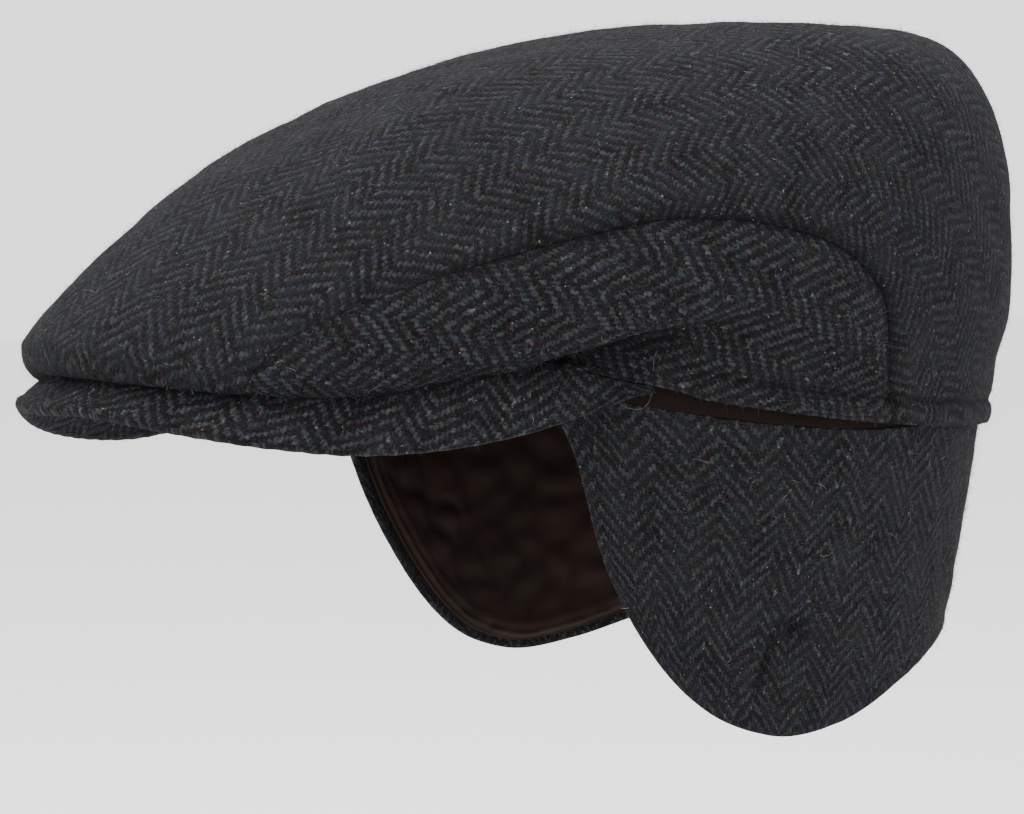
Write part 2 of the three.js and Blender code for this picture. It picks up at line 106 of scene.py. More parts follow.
def smooth_table(rows, level_ends=True):
    """A smooth curve through the rows of a table, by their first column."""
    rows = np.array(rows, float)
    places, values = rows[:, 0], rows[:, 1:]
    step = np.diff(places)[:, None]
    steep = np.diff(values, axis=0) / step
    slope = np.zeros_like(values)
    slope[1:-1] = (steep[:-1] * step[1:] + steep[1:] * step[:-1]) / (step[:-1] + step[1:])
    slope[1:-1][steep[:-1] * steep[1:] <= 0] = 0
    if not level_ends:
        slope[0], slope[-1] = steep[0], steep[-1]

    def at(place):
        place = np.clip(place, places[0], places[-1])
        i = np.clip(np.searchsorted(places, place) - 1, 0, len(places) - 2)
        t = ((place - places[i]) / step[i, 0])[..., None]
        rise = values[i + 1] - values[i]
        leaving = (t**3 - 2 * t**2 + t) * step[i] * slope[i]
        arriving = (t**3 - t**2) * step[i] * slope[i + 1]
        return np.moveaxis(values[i] + (3 * t**2 - 2 * t**3) * rise + leaving + arriving, -1, 0)

    return at


peak_at = smooth_table(peak_rows)
fold_at = smooth_table(fold_rows)
dome_at = smooth_table(dome_rows)
seam_at = smooth_table(seam_rows, level_ends=False)


def around(angle):
    """Brings an angle into -180 to 180 degrees."""
    return (angle + 180) % 360 - 180


def unit(vectors):
    """The same directions with a length of 1."""
    return vectors / np.linalg.norm(vectors, axis=-1, keepdims=True)


def hem_line(angle, inset=0):
    """The lower edge of the cap, by the angle from the centre front."""
    turn = np.radians(angle)
    y = -hem_half_length * np.cos(turn)
    height = hem_sag * y * y - hem_slope * y
    x = (hem_half_width - inset) * np.sin(turn)
    return np.stack([x, -(hem_half_length - inset) * np.cos(turn), height], -1)


def peak_top(angle, out):
    """The upper face of the peak, from the hem (0) out to the peak's edge (1)."""
    size, side = np.abs(angle), np.sign(angle)
    edge_height, lean, lift = peak_at(size)
    inner = hem_line(angle)
    inner[..., 2] += lift
    turn = np.radians(np.minimum(size / peak_corner_angle, 1) * 90)
    x = side * peak_half_width * np.sin(turn) ** peak_roundness
    y = peak_corner_y - peak_reach * np.cos(turn)
    edge = np.stack([x, y, edge_height + side * lean], -1)
    point = inner + (edge - inner) * np.asarray(out)[..., None]
    flattening = 1 - smoothstep(size, 40, peak_corner_angle)
    point[..., 2] += 4 * peak_bulge * out * (1 - out) * flattening
    return point


def crown(angle, height):
    """The outer face of the crown, from its lower edge (0) to its top (1)."""
    angle = around(angle)
    size = np.abs(angle)
    on_peak, swell, lift, out, rise, drop = fold_at(size)
    fullness, shoulder = dome_at(size)
    base = peak_top(angle, on_peak)
    base_z = base[..., 2] + seam_clearance
    away = base[..., :2] - [0, crown_top_y]
    base_reach = np.linalg.norm(away, axis=-1)
    fold_reach, fold_z = base_reach + swell, base_z + lift
    t = np.clip(height / fold_share, 0, 1)
    b = [(1 - t) ** 3, 3 * (1 - t) ** 2 * t, 3 * (1 - t) * t * t, t**3]
    low_reach = b[0] * base_reach + b[1] * (base_reach + out) + (b[2] + b[3]) * fold_reach
    low_z = b[0] * base_z + b[1] * (base_z + rise) + b[2] * (fold_z - drop) + b[3] * fold_z
    up = np.sin(np.clip((height - fold_share) / (1 - fold_share), 0, 1) * np.pi / 2)
    high_reach = fold_reach * np.maximum(1 - up**shoulder, 0) ** (1 / fullness)
    high_z = fold_z + (crown_top_z - fold_z) * up
    reach = np.where(height < fold_share, low_reach, high_reach)
    z = np.where(height < fold_share, low_z, high_z)
    flat = away / base_reach[..., None] * reach[..., None] + [0, crown_top_y]
    return np.concatenate([flat, z[..., None]], -1)


def chart(angle, height):
    """The crown as a round map, with its top in the middle and its lower edge round it. The
    fullness sets how fast it runs inwards, so that the cloth near the top isn't squeezed."""
    turn = np.radians(angle)
    fullness = dome_at(np.abs(around(angle)))[0]
    size = (1 - np.asarray(height)) ** (2 / fullness)
    return np.stack([np.sin(turn), -np.cos(turn)], -1) * size[..., None]


def off_chart(place):
    """The hem angle and height of a place on the map."""
    size = np.minimum(np.linalg.norm(place, axis=-1), 1)
    angle = np.degrees(np.arctan2(place[..., 0], -place[..., 1]))
    return angle, 1 - size ** (dome_at(np.abs(angle))[0] / 2)


def crown_from_chart(place):
    return crown(*off_chart(place))


def seam_place(along, side, shift):
    """A place of the seam on the map, a hair to one side of it."""
    step, chart_gap = 0.002, 0.0002

    def at(share):
        angle, height = seam_at(share)
        return chart(side * angle, height)

    tangent = unit(at(np.minimum(along + step, 1)) - at(np.maximum(along - step, 0)))
    across = np.stack([-tangent[..., 1], tangent[..., 0]], -1) * side * shift
    place = at(along) + across * chart_gap
    on_rim = (along <= 0) | (along >= 1)
    return np.where(on_rim[..., None], unit(place), place)


def coons(left, right, low, high):
    """A four-sided patch between curves: left and right run with v, low and high with u."""
    ends = np.array([0.0, 1.0])
    (c00, c01), (c10, c11) = left(ends), right(ends)

    def surface(u, v):
        a, b = u[..., None], v[..., None]
        sides = left(v) * (1 - a) + right(v) * a
        rims = low(u) * (1 - b) + high(u) * b
        flat = (c00 * (1 - a) + c10 * a) * (1 - b) + (c01 * (1 - a) + c11 * a) * b
        return sides + rims - flat

    return surface


def even_shares(surface, count, along_u):
    """Shares from 0 to 1 at even steps on the cloth, closer together near both edges."""
    crowding, reach = 2.5, 3.0
    fine, others = np.meshgrid(np.linspace(0, 1, 900), np.linspace(0.03, 0.97, 9), indexing="ij")
    points = surface(fine, others) if along_u else surface(others, fine)
    steps = np.linalg.norm(np.diff(points, axis=0), axis=-1).max(axis=1)
    length = np.cumsum(steps)
    from_edge = np.minimum(length, length[-1] - length)
    weighted = steps * (1 + crowding * np.exp(-((from_edge / reach) ** 2)))
    total = np.concatenate([[0], np.cumsum(weighted)])
    return np.interp(np.linspace(0, total[-1], count), total, fine[:, 0])


def distance_to(points, path):
    """How far each point of a grid is from a line through the given points."""
    return np.array([np.linalg.norm(row[:, None] - path, axis=2).min(axis=1) for row in points])


def rounded(distance, radius):
    """How far a face drops at a distance from its edge, so that the edge is round."""
    return radius * (1 - np.sqrt(1 - np.clip(1 - distance / radius, 0, 1) ** 2))


def soft_line(distance, place, width, depth):
    """A soft line at a place away from an edge: its depth there, fading off to both sides."""
    return depth * np.exp(-(((distance - place) / width) ** 2))


def unevenness(points, size, seed):
    """Soft swells and hollows of about that size, from -1 to 1."""
    rng = np.random.default_rng(seed)
    total = np.zeros(points.shape[:-1])
    for _ in range(14):
        way = rng.normal(size=3)
        way *= 2 * np.pi / size * rng.uniform(0.6, 1.4) / np.linalg.norm(way)
        total += np.sin(points @ way + rng.uniform(0, 2 * np.pi))
    return total / 5


def crease(points, path, width, strength):
    """A soft fold line along a path: 1 on the line, fading off to both sides and at its ends."""
    shares = np.linspace(0, 1, 40)
    marks = np.linspace(0, 1, len(path))
    line = np.stack([np.interp(shares, marks, column) for column in np.array(path).T], -1)
    fade = np.sin(np.pi * np.clip(shares, 0.02, 0.98)) ** 0.5
    answer = np.zeros(points.shape[:-1])
    for i, row in enumerate(points):
        gaps = np.linalg.norm(row[:, None] - line, axis=2)
        answer[i] = (np.exp(-((gaps / width) ** 2)) * fade).max(axis=1)
    return answer * strength


def cut_flat(face, guide):
    """Lays a sheet flat with little stretch and answers flat places in mm, turned like the guide."""
    rows, columns = 34, 26
    picks = [np.linspace(0, n - 1, k).round().astype(int) for n, k in zip(face.shape, (rows, columns))]
    coarse = face[np.ix_(*picks)]
    quads = [
        (i * columns + j, (i + 1) * columns + j, (i + 1) * columns + j + 1, i * columns + j + 1)
        for i in range(rows - 1)
        for j in range(columns - 1)
    ]
    mesh = bpy.data.meshes.new("pattern")
    mesh.from_pydata([tuple(p / 1000) for p in coarse.reshape(-1, 3)], [], quads)
    mesh.uv_layers.new(name="flat")
    pattern = bpy.data.objects.new("pattern", mesh)
    scene.collection.objects.link(pattern)
    bpy.context.view_layer.objects.active = pattern
    pattern.select_set(True)
    bpy.ops.object.mode_set(mode="EDIT")
    bpy.ops.mesh.select_all(action="SELECT")
    bpy.ops.uv.unwrap(method="MINIMUM_STRETCH", fill_holes=False, margin=0)
    bpy.ops.object.mode_set(mode="OBJECT")
    loops = np.zeros(len(mesh.loops) * 2, np.float32)
    mesh.uv_layers[0].uv.foreach_get("vector", loops)
    corners = np.zeros(len(mesh.loops), np.int32)
    mesh.loops.foreach_get("vertex_index", corners)
    flat = np.zeros((rows * columns, 2))
    flat[corners] = loops.reshape(-1, 2)
    bpy.data.objects.remove(pattern)
    bpy.data.meshes.remove(mesh)
    flat = flat.reshape(rows, columns, 2)
    real = np.linalg.norm(np.diff(coarse, axis=0), axis=-1).mean()
    flat *= real / np.linalg.norm(np.diff(flat, axis=0), axis=-1).mean()
    guide = guide[np.ix_(*picks)].reshape(-1, 2)
    loose = flat.reshape(-1, 2) - flat.reshape(-1, 2).mean(axis=0)
    a, _, b = np.linalg.svd(loose.T @ (guide - guide.mean(axis=0)))
    flat = (loose @ a @ b).reshape(rows, columns, 2)
    every_row, every_column = (np.arange(n) for n in face.shape[:2])
    longer = np.stack([
        np.stack([np.interp(every_row, picks[0], flat[:, j, k]) for j in range(columns)], 1)
        for k in range(2)
    ], -1)
    return np.stack([
        np.stack([np.interp(every_column, picks[1], longer[i, :, k]) for i in every_row])
        for k in range(2)
    ], -1)


def sheet_of_cloth(name, face, back, flat, material, ring=False, hollow=None, hollow_back=None):
    """A closed piece of cloth between an outer and an inner grid of points. flat is each point's
    place on the cloth before it was sewn, in mm. hollow and hollow_back are above 0 where the
    outer and the inner face lie deep in a fold; the materials paint shade into the colour there."""
    rows, columns = face.shape[:2]
    number = np.arange(rows * columns).reshape(rows, columns)
    if ring:
        number = np.concatenate([number, number[:1]])
    a, b, c, d = number[:-1, :-1], number[1:, :-1], number[1:, 1:], number[:-1, 1:]
    outer = np.stack([a, b, c, d], -1).reshape(-1, 4)
    other = rows * columns
    inner = np.stack([a, d, c, b], -1).reshape(-1, 4) + other
    rims = [number[:, 0][::-1], number[:, -1]]
    if not ring:
        rims += [number[0], number[-1][::-1]]
    walls = [np.stack([r[:-1], r[1:], r[1:] + other, r[:-1] + other], -1) for r in rims]
    quads = np.concatenate([outer, inner, *walls])
    mesh = bpy.data.meshes.new(name)
    points = np.concatenate([face.reshape(-1, 3), back.reshape(-1, 3)]) / 1000
    mesh.from_pydata(points.tolist(), [], quads.tolist())
    mesh.shade_smooth()
    layer = mesh.uv_layers.new(name="threads")
    places = np.concatenate([flat.reshape(-1, 2)] * 2)
    corners = np.zeros(len(mesh.loops), np.int32)
    mesh.loops.foreach_get("vertex_index", corners)
    layer.uv.foreach_set("vector", places[corners].astype(np.float32).ravel())
    # The hollows are kept as an attribute, from which the materials paint shade.
    painted_shade = [np.zeros(rows * columns) if h is None else h.ravel() for h in (hollow, hollow_back)]
    attribute = mesh.attributes.new("hollow", "FLOAT", "POINT")
    attribute.data.foreach_set("value", np.concatenate(painted_shade).astype(np.float32))
    made = bpy.data.objects.new(name, mesh)
    scene.collection.objects.link(made)
    made.data.materials.append(material)
    return made


def linear(colour):
    """A colour given as sRGB hex, as the linear values that a shader takes."""
    parts = [int(colour[i : i + 2], 16) / 255 for i in (1, 3, 5)]
    return [p / 12.92 if p <= 0.04045 else ((p + 0.055) / 1.055) ** 2.4 for p in parts] + [1]


def connect(node, values):
    """Gives a node's sockets their values, or links from the outputs of other nodes."""
    sockets = {socket.identifier: socket for socket in node.inputs}
    for name, value in values.items():
        if isinstance(value, bpy.types.NodeSocket):
            node.id_data.links.new(value, sockets[name])
        elif value is not None:
            sockets[name].default_value = value


def add(tree, kind, *inputs, out=0, steps=(), **settings):
    """Adds a node and answers one of its outputs. inputs go to its first sockets in order. Of the
    settings, those with a capital name a socket and the others a property. steps are the places
    and colours of a ramp."""
    made = tree.nodes.new("ShaderNode" + kind)
    for name, value in settings.items():
        if name[0].islower():
            setattr(made, name, value)
    by_name = {name: value for name, value in settings.items() if name[0].isupper()}
    connect(made, {**dict(zip([socket.identifier for socket in made.inputs], inputs)), **by_name})
    if steps:
        stops = made.color_ramp.elements
        stops = [stops[0], stops[1], *[stops.new(1) for _ in steps[2:]]]
        for (place, colour), stop in zip(steps, stops):
            stop.position = place
            stop.color = linear(colour)
    return made.outputs[out]


def new_material(name):
    """A new material, with its nodes and its shader."""
    made = bpy.data.materials.new(name)
    made.use_nodes = True
    return made, made.node_tree, made.node_tree.nodes["Principled BSDF"]


def tweed(name, nap):
    """Wool tweed in a 2/2 herringbone: grey-blue warp floats on a near-black weft, nine threads
    to a column. nap is how much the raised hair hides the weave. Each noise's scale is per mm."""
    material, tree, shader = new_material(name)
    thread, column_threads = 0.95, 9.0
    blended = {"data_type": "RGBA", "out": 2}
    multiplied = {**blended, "blend_type": "MULTIPLY"}

    # The columns sway slowly, and the threads have shorter kinks.
    place = add(tree, "UVMap", uv_map="threads")
    moved = place
    for scale, swing in ((0.22, 1.5), (0.9, 1.35)):
        sway = add(tree, "TexNoise", place, None, scale, 2.0, 0.5, out=1)
        sway = add(tree, "VectorMath", sway, (0.5, 0.5, 0.5), operation="SUBTRACT")
        moved = add(tree, "VectorMath", sway, (swing, swing, 0), moved, operation="MULTIPLY_ADD")
    scaled = add(tree, "VectorMath", moved, (1 / thread, 1 / thread, 0), operation="MULTIPLY")
    number = add(tree, "VectorMath", scaled, operation="FLOOR")
    part = add(tree, "VectorMath", scaled, number, operation="SUBTRACT")
    warp, weft = add(tree, "SeparateXYZ", number, out=slice(2))
    across, along = add(tree, "SeparateXYZ", part, out=slice(2))

    # The twill steps one thread each row, and leans the other way in every second column.
    column = add(tree, "Math", warp, 500 * column_threads, operation="ADD")
    column = add(tree, "Math", column, column_threads, operation="DIVIDE")
    column = add(tree, "Math", column, operation="FLOOR")
    lean = add(tree, "Math", column, 2.0, operation="FLOORED_MODULO")
    lean = add(tree, "Math", lean, -2.0, 1.0, operation="MULTIPLY_ADD")
    turn = add(tree, "Math", warp, lean, weft, operation="MULTIPLY_ADD")
    turn = add(tree, "Math", turn, 4.0, operation="FLOORED_MODULO")
    ragged = add(tree, "TexNoise", moved, None, 1.5, 3.0, 0.7)
    shifted = add(tree, "Math", turn, 2.2, operation="SUBTRACT")
    ragged = add(tree, "Math", ragged, 4.4, shifted, operation="MULTIPLY_ADD")
    warp_on_top = add(tree, "Math", ragged, 1.5, operation="LESS_THAN")

    # Each float is round across the thread and bows up along it.
    warp_run = add(tree, "Math", turn, along, operation="ADD")
    warp_run = add(tree, "Math", warp_run, 0.5, operation="MULTIPLY")
    leaned = add(tree, "Math", across, 0.5, operation="SUBTRACT")
    leaned = add(tree, "Math", leaned, lean, operation="MULTIPLY")
    weft_run = add(tree, "Math", turn, 1.5, operation="SUBTRACT")
    weft_run = add(tree, "Math", weft_run, leaned, operation="ADD")
    weft_run = add(tree, "Math", weft_run, 0.5, operation="MULTIPLY")
    run = add(tree, "Mix", warp_on_top, A_Float=weft_run, B_Float=warp_run)
    side = add(tree, "Mix", warp_on_top, A_Float=along, B_Float=across)
    bows = []
    for share, squareness in ((run, 0.45), (side, 0.6)):
        bow = add(tree, "Math", share, math.pi, operation="MULTIPLY")
        bow = add(tree, "Math", bow, operation="SINE")
        bow = add(tree, "Math", bow, 0.0, operation="MAXIMUM")
        bows.append(add(tree, "Math", bow, squareness, operation="POWER"))
    relief = add(tree, "Math", *bows, operation="MULTIPLY")

    # Fibres run along each thread.
    warp_hair = add(tree, "VectorMath", moved, (7.0, 1.6, 0), operation="MULTIPLY")
    weft_hair = add(tree, "VectorMath", moved, (1.6, 7.0, 0), operation="MULTIPLY")
    hair = add(tree, "Mix", warp_on_top, A_Vector=weft_hair, B_Vector=warp_hair, data_type="VECTOR", out=1)
    fibre = add(tree, "TexNoise", hair, None, 1.0, 3.0, 0.6)

    # Each thread has its own mix of wool, which also changes along it.
    drawn_out = add(tree, "Math", weft, 0.23, operation="MULTIPLY")
    own = add(tree, "CombineXYZ", warp, drawn_out, 0.0)
    mix = add(tree, "TexNoise", own, None, 0.9, 2.0, 0.6)
    fine = add(tree, "TexNoise", moved, None, 1.0, 2.0, 0.6)
    fine = add(tree, "Math", fine, 0.5, operation="SUBTRACT")
    blend = add(tree, "Math", fine, 1.2, mix, operation="MULTIPLY_ADD")
    light = add(tree, "ValToRGB", blend, steps=[
        (0.22, "#121314"), (0.34, "#222325"), (0.41, "#1e2830"), (0.46, "#303134"), (0.52, "#342a26"),
        (0.58, "#333436"), (0.64, "#23313a"), (0.71, "#373437"), (0.82, "#504f4f"),
    ])
    # Every float of the warp is a little lighter or darker than the next.
    pair = add(tree, "Math", weft, 0.5, operation="MULTIPLY")
    pair = add(tree, "Math", pair, operation="FLOOR")
    float_number = add(tree, "CombineXYZ", warp, pair)
    chance = add(tree, "TexWhiteNoise", float_number, noise_dimensions="2D")
    strength = add(tree, "Math", chance, 0.9, 0.48, operation="MULTIPLY_ADD")
    strength = add(tree, "CombineColor", strength, strength, strength)
    light = add(tree, "Mix", 1.0, A_Color=light, B_Color=strength, **multiplied)
    dark = add(tree, "TexNoise", moved, None, 1.3, 2.0, 0.7)
    dark = add(tree, "ValToRGB", dark, steps=[
        (0.3, "#070707"), (0.42, "#100f0e"), (0.5, "#11161a"), (0.57, "#1f1612"), (0.64, "#151617"),
        (0.72, "#1c191d"), (0.82, "#2a2a2a"),
    ])
    colour = add(tree, "Mix", warp_on_top, A_Color=dark, B_Color=light, **blended)

    # Hollows between the threads are darkened with painted shade, and raised hair greys the weave over.
    shade = add(tree, "Math", relief, 0.5, 0.5, operation="MULTIPLY_ADD")
    patches = add(tree, "TexNoise", place, None, 0.1, 4.0, 0.75)
    patches = add(tree, "Math", patches, 1.6, 0.18, operation="MULTIPLY_ADD")
    shade = add(tree, "Math", shade, patches, operation="MULTIPLY")
    shade = add(tree, "CombineColor", shade, shade, shade)
    colour = add(tree, "Mix", 1.0, A_Color=colour, B_Color=shade, **multiplied)
    cloud = add(tree, "TexNoise", place, None, 0.5, 4.0, 0.7)
    cloud = add(tree, "Math", cloud, 1.5, -1.15, operation="MULTIPLY_ADD")
    broad = add(tree, "TexNoise", place, None, 0.1, 2.0, 0.6)
    haze = add(tree, "Math", broad, 1.8, cloud, operation="MULTIPLY_ADD")
    haze = add(tree, "Math", haze, nap, operation="MULTIPLY")
    haze_colour = add(tree, "ValToRGB", fibre, steps=[(0.3, "#0b0b0c"), (0.5, "#1a1b1d"), (0.7, "#323234")])
    colour = add(tree, "Mix", haze, A_Color=colour, B_Color=haze_colour, **blended)

    # Single fibres differ in colour, a grain about half a thread wide.
    grain = add(tree, "TexNoise", moved, None, 2.3, 3.0, 0.8, out=1)
    grain = add(tree, "VectorMath", grain, (4.4, 4.4, 4.4), (-1.2, -1.2, -1.2), operation="MULTIPLY_ADD")
    grain = add(tree, "VectorMath", grain, (0.25, 0.25, 0.25), operation="MAXIMUM")
    colour = add(tree, "Mix", 0.68, A_Color=colour, B_Color=grain, **multiplied)
    # Painted shade: deep in a fold or a seam the colour is darkened.
    hollow = add(tree, "Attribute", attribute_name="hollow", out=2)
    painted_shade_colour = add(tree, "ValToRGB", fibre, steps=[(0.3, "#020202"), (0.7, "#0c0b0b")])
    colour = add(tree, "Mix", hollow, A_Color=colour, B_Color=painted_shade_colour, **blended)
    # The mixed yarns lean to blue in some places and to brown in others.
    tint = add(tree, "TexNoise", place, None, 0.2, 3.0, 0.7)
    tint = add(tree, "ValToRGB", tint, steps=[(0.34, "#fff2ea"), (0.5, "#fbf8fa"), (0.66, "#e8f1ff")])
    colour = add(tree, "Mix", 1.0, A_Color=colour, B_Color=tint, **multiplied)
    # Small pale and brown nubs of wool are spun into the yarn.
    nub = add(tree, "TexVoronoi", place, None, 0.42)
    nub_edge = add(tree, "Math", fibre, 0.25, operation="MULTIPLY")
    nub = add(tree, "Math", nub, nub_edge, operation="ADD")
    nub = add(tree, "Math", nub, 0.2, operation="LESS_THAN")
    nub = add(tree, "Math", nub, 0.75, operation="MULTIPLY")
    nub_colour = add(tree, "ValToRGB", mix, steps=[(0.35, "#5c6061"), (0.5, "#463830"), (0.6, "#7c7c77")])
    colour = add(tree, "Mix", nub, A_Color=colour, B_Color=nub_colour, **blended)

    height = add(tree, "Math", fibre, 0.5, relief, operation="MULTIPLY_ADD")
    bump = add(tree, "Bump", Strength=0.85, Distance=0.00035, Height=height)
    connect(shader, {
        "Base Color": colour, "Normal": bump, "Roughness": 0.95, "Specular IOR Level": 0.05,
        "Sheen Weight": 0.015, "Sheen Roughness": 0.45, "Sheen Tint": linear("#b9c4d0"),
    })
    return material


brushed_tweed = tweed("brushed herringbone tweed", nap=0.8)


# The pinched fold above the ear, a lip over a hollow: hem angle, height of the lip, strength.
lip_at = smooth_table([
    (0, 0, 0), (51, 0, 0), (54.8, 0.008, 0.5), (58, 0.025, 0.9), (61.5, 0.042, 1), (65.2, 0.064, 1),
    (67.8, 0.084, 1), (71.8, 0.1, 1), (75, 0.108, 0.85), (78.2, 0.12, 0.65), (84, 0.135, 0.35),
    (92, 0.145, 0), (180, 0.145, 0),
])
# The lip's section, from below its line to above it: mm along the cloth, mm out of it.
lip_shape = smooth_table([
    (-18, 0), (-12, -1.2), (-7, -3), (-4, -4.2), (-1.8, -4.2), (-0.6, -1.6), (0.3, 1.1), (1.5, 2.2),
    (5, 1.8), (16, 0),
])
lip_depth = 4.2
cloth_to_top = 165


def crown_panel(name, surface, counts, grain, guide, creases, seed, material):
    """A panel of the crown over a patch of the map, with seams, hem, soft folds and creases.
    grain is how far its stripes are turned, in degrees. Answers the piece, its face, the face's
    directions out and its hollows, which the material paints as shade."""
    on_cloth = lambda u, v: crown_from_chart(surface(u, v))
    u = even_shares(on_cloth, counts[0], True)
    v = even_shares(on_cloth, counts[1], False)
    grid_u, grid_v = np.meshgrid(u, v, indexing="ij")
    places = surface(grid_u, grid_v)
    length = np.linalg.norm(places, axis=-1, keepdims=True)
    step = 0.004
    inner = places * np.minimum(1, (1 - 1.5 * step) / np.maximum(length, 1e-9))
    east = crown_from_chart(inner + [step, 0]) - crown_from_chart(inner - [step, 0])
    north = crown_from_chart(inner + [0, step]) - crown_from_chart(inner - [0, step])
    normals = unit(np.cross(east, north))
    face = crown_from_chart(places)
    angles = np.linspace(-180, 180, 900)
    to_hem = distance_to(face, crown(angles, np.zeros_like(angles)))
    shares = np.linspace(0, 1, 500)
    seams = [crown_from_chart(seam_place(shares, side, 0)) for side in (-1, 1)]
    to_seam = np.minimum(*[distance_to(face, seam) for seam in seams])
    angle, height = off_chart(places)
    angle = np.abs(angle)

    soft = smoothstep(to_hem, 2, 20) * smoothstep(to_seam, 0, 14)
    bulk = (0.75 * unevenness(face, 55, seed) + 0.3 * unevenness(face, 21, seed + 1)) * soft
    for path, width, strength in creases:
        bulk += crease(face, crown(*np.array(path, float).T), width, strength)
    # The seam sinks between two rolled edges, less so in the fold on the peak.
    valley = soft_line(to_seam, 5.5, 2.5, 0.3) - soft_line(to_seam, 0, 2.4, 0.9)
    seam_strength = 0.3 + 0.7 * smoothstep(angle, 38, 62)
    relief = 0.09 * unevenness(face, 7, seed + 2)
    relief = relief + (valley - rounded(to_seam, 0.8) * 0.5) * seam_strength
    # Behind the peak the turned hem is sewn down above the edge.
    turned_up = soft_line(to_hem, 3, 1.8, 0.5) - soft_line(to_hem, 6, 1, 0.8)
    relief += turned_up * smoothstep(angle, 74, 82)
    over_lip = (height - lip_at(angle)[0]) * cloth_to_top
    free_hem = smoothstep(angle, 58, 63)
    lip = lip_shape(over_lip)[0] * lip_at(angle)[1] * smoothstep(to_seam, 0, 8)
    lip *= 1 - free_hem * (1 - smoothstep(to_hem, 0, 2.5))
    sideways = unit(normals * [1, 1, 0.3])

    # The inner face follows the folds and the lip only so far.
    outer_drop = rounded(to_hem, 1.15) * smoothstep(angle, 66, 76)
    inner_drop = rounded(to_hem, 1.1)
    back = face + normals * (np.minimum(bulk, 1.5) - cloth_thickness + inner_drop)[..., None]
    back = back + sideways * np.clip(lip, -2.6, 1.5)[..., None]
    face = face + normals * (bulk + relief - outer_drop)[..., None] + sideways * lip[..., None]
    flat = cut_flat(face, guide(face))
    turn = math.radians(grain)
    flat = flat @ np.array([[math.cos(turn), math.sin(turn)], [-math.sin(turn), math.cos(turn)]])
    # Painted shade: the hollow under the lip and the sunk seam are darkened through this attribute.
    hollow = np.clip(-lip / lip_depth, 0, 1) * 0.5 + np.clip(-relief, 0, 1) * 0.55
    hollow = np.clip(hollow, 0, 0.8)
    return sheet_of_cloth(name, face, back, flat, material, hollow=hollow), face, normals, hollow


def hem_angle_of(place):
    """The hem angle, in degrees, of one place on the map."""
    return math.degrees(math.atan2(place[0], -place[1]))


# Soft folds of the top panel: hem angle and height of each point, width, depth.
top_creases = [
    ([(20, 0.3), (32, 0.33), (45, 0.36)], 9, -0.8),
    ([(-20, 0.32), (-36, 0.33), (-50, 0.4)], 10, -0.8),
    ([(60, 0.42), (80, 0.46), (98, 0.42)], 12, 0.6),
]
front_start, back_end = seam_place(np.array([0.0, 1.0]), 1, 1)
front_angle = hem_angle_of(front_start)
back_angle = 180 - hem_angle_of(back_end)
top_patch = coons(
    lambda v: seam_place(v, -1, 1),
    lambda v: seam_place(v, 1, 1),
    lambda u: chart((2 * u - 1) * front_angle, 0 * u),
    lambda u: chart(180 - (2 * u - 1) * back_angle, 0 * u),
)
top, top_face, top_normals, top_hollow = crown_panel(
    "crown_top", top_patch, counts=(170, 230), grain=0, guide=lambda face: face[..., :2],
    creases=top_creases, seed=11, material=brushed_tweed,
)
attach(top, "root")
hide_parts("crown_top_panel")

# The raised hair of the tweed: wool fibres up to 3 mm long that came up out of the threads when
# the cloth was brushed. They stand up or lie on it, and few are left deep in a fold or a seam.
hair_material, tree, shader = new_material("loose wool hair")
tone = add(tree, "Attribute", attribute_name="tone", out=2)
hair_colour = add(tree, "ValToRGB", tone, steps=[
    (0, "#0b0b0c"), (0.35, "#18191b"), (0.6, "#272a2d"), (0.85, "#302b28"), (0.98, "#424446"),
    (1, "#84827c"),
])
connect(shader, {"Base Color": hair_colour, "Roughness": 0.8})


def loose_hair(name, face, normals, count, seed, hollow=None):
    """Short bent fibres scattered over a face, fewer where it is hollow, joined into one piece."""
    shortest, longest, width = 0.5, 3.2, 0.055
    root_depth, bend_size = 0.15, 0.45
    rng = np.random.default_rng(seed)
    du, dv = np.diff(face, axis=0)[:, :-1], np.diff(face, axis=1)[:-1]
    area = np.linalg.norm(np.cross(du, dv), axis=-1)
    if hollow is not None:
        area = area * np.clip(1 - 2.5 * hollow[:-1, :-1], 0.02, 1)
    area = area.ravel()
    cells = rng.choice(area.size, count, p=area / area.sum())
    i, j = np.unravel_index(cells, du.shape[:2])
    a, b = rng.uniform(size=(2, count, 1))
    root = face[i, j] + du[i, j] * a + dv[i, j] * b
    normal = normals[i, j]
    side = rng.normal(size=(count, 3))
    side = unit(side - normal * (side * normal).sum(axis=1, keepdims=True))
    rise = rng.uniform(0.05, 1.1, (count, 1)) ** 1.4
    way = unit(side + normal * rise)
    length = shortest + (longest - shortest) * rng.uniform(size=(count, 1)) ** 3
    bend = rng.normal(size=(count, 3)) * bend_size
    middle = root + way * length * 0.5
    tip = middle + (way + bend) * length * 0.5
    broad = np.cross(way, rng.normal(size=(count, 3)))
    broad *= width / 2 / np.linalg.norm(broad, axis=1, keepdims=True)
    root = root - normal * root_depth
    points = np.stack([root - broad, root + broad, middle + broad, middle - broad, tip], 1)
    first = (np.arange(count) * 5).tolist()
    faces = [[k, k + 1, k + 2, k + 3] for k in first]
    faces += [[k + 3, k + 2, k + 4] for k in first]
    mesh = bpy.data.meshes.new(name)
    mesh.from_pydata((points.reshape(-1, 3) / 1000).tolist(), [], faces)
    tone = mesh.attributes.new("tone", "FLOAT", "POINT")
    tone.data.foreach_set("value", np.repeat(rng.uniform(size=count), 5).astype(np.float32))
    made = bpy.data.objects.new(name, mesh)
    scene.collection.objects.link(made)
    made.data.materials.append(hair_material)
    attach(made, "root")


loose_hair("crown_top_hair", top_face, top_normals, count=42000, seed=21, hollow=top_hollow)

# The two side panels of the crown: long tweed crescents under the seams, cut with the stripes
# running down to the back. The front of each is drawn in under the fold that lies on the peak.
crown_tweed = tweed("wool herringbone tweed", nap=0.42)
seam_front, seam_back = 0.085, 0.8
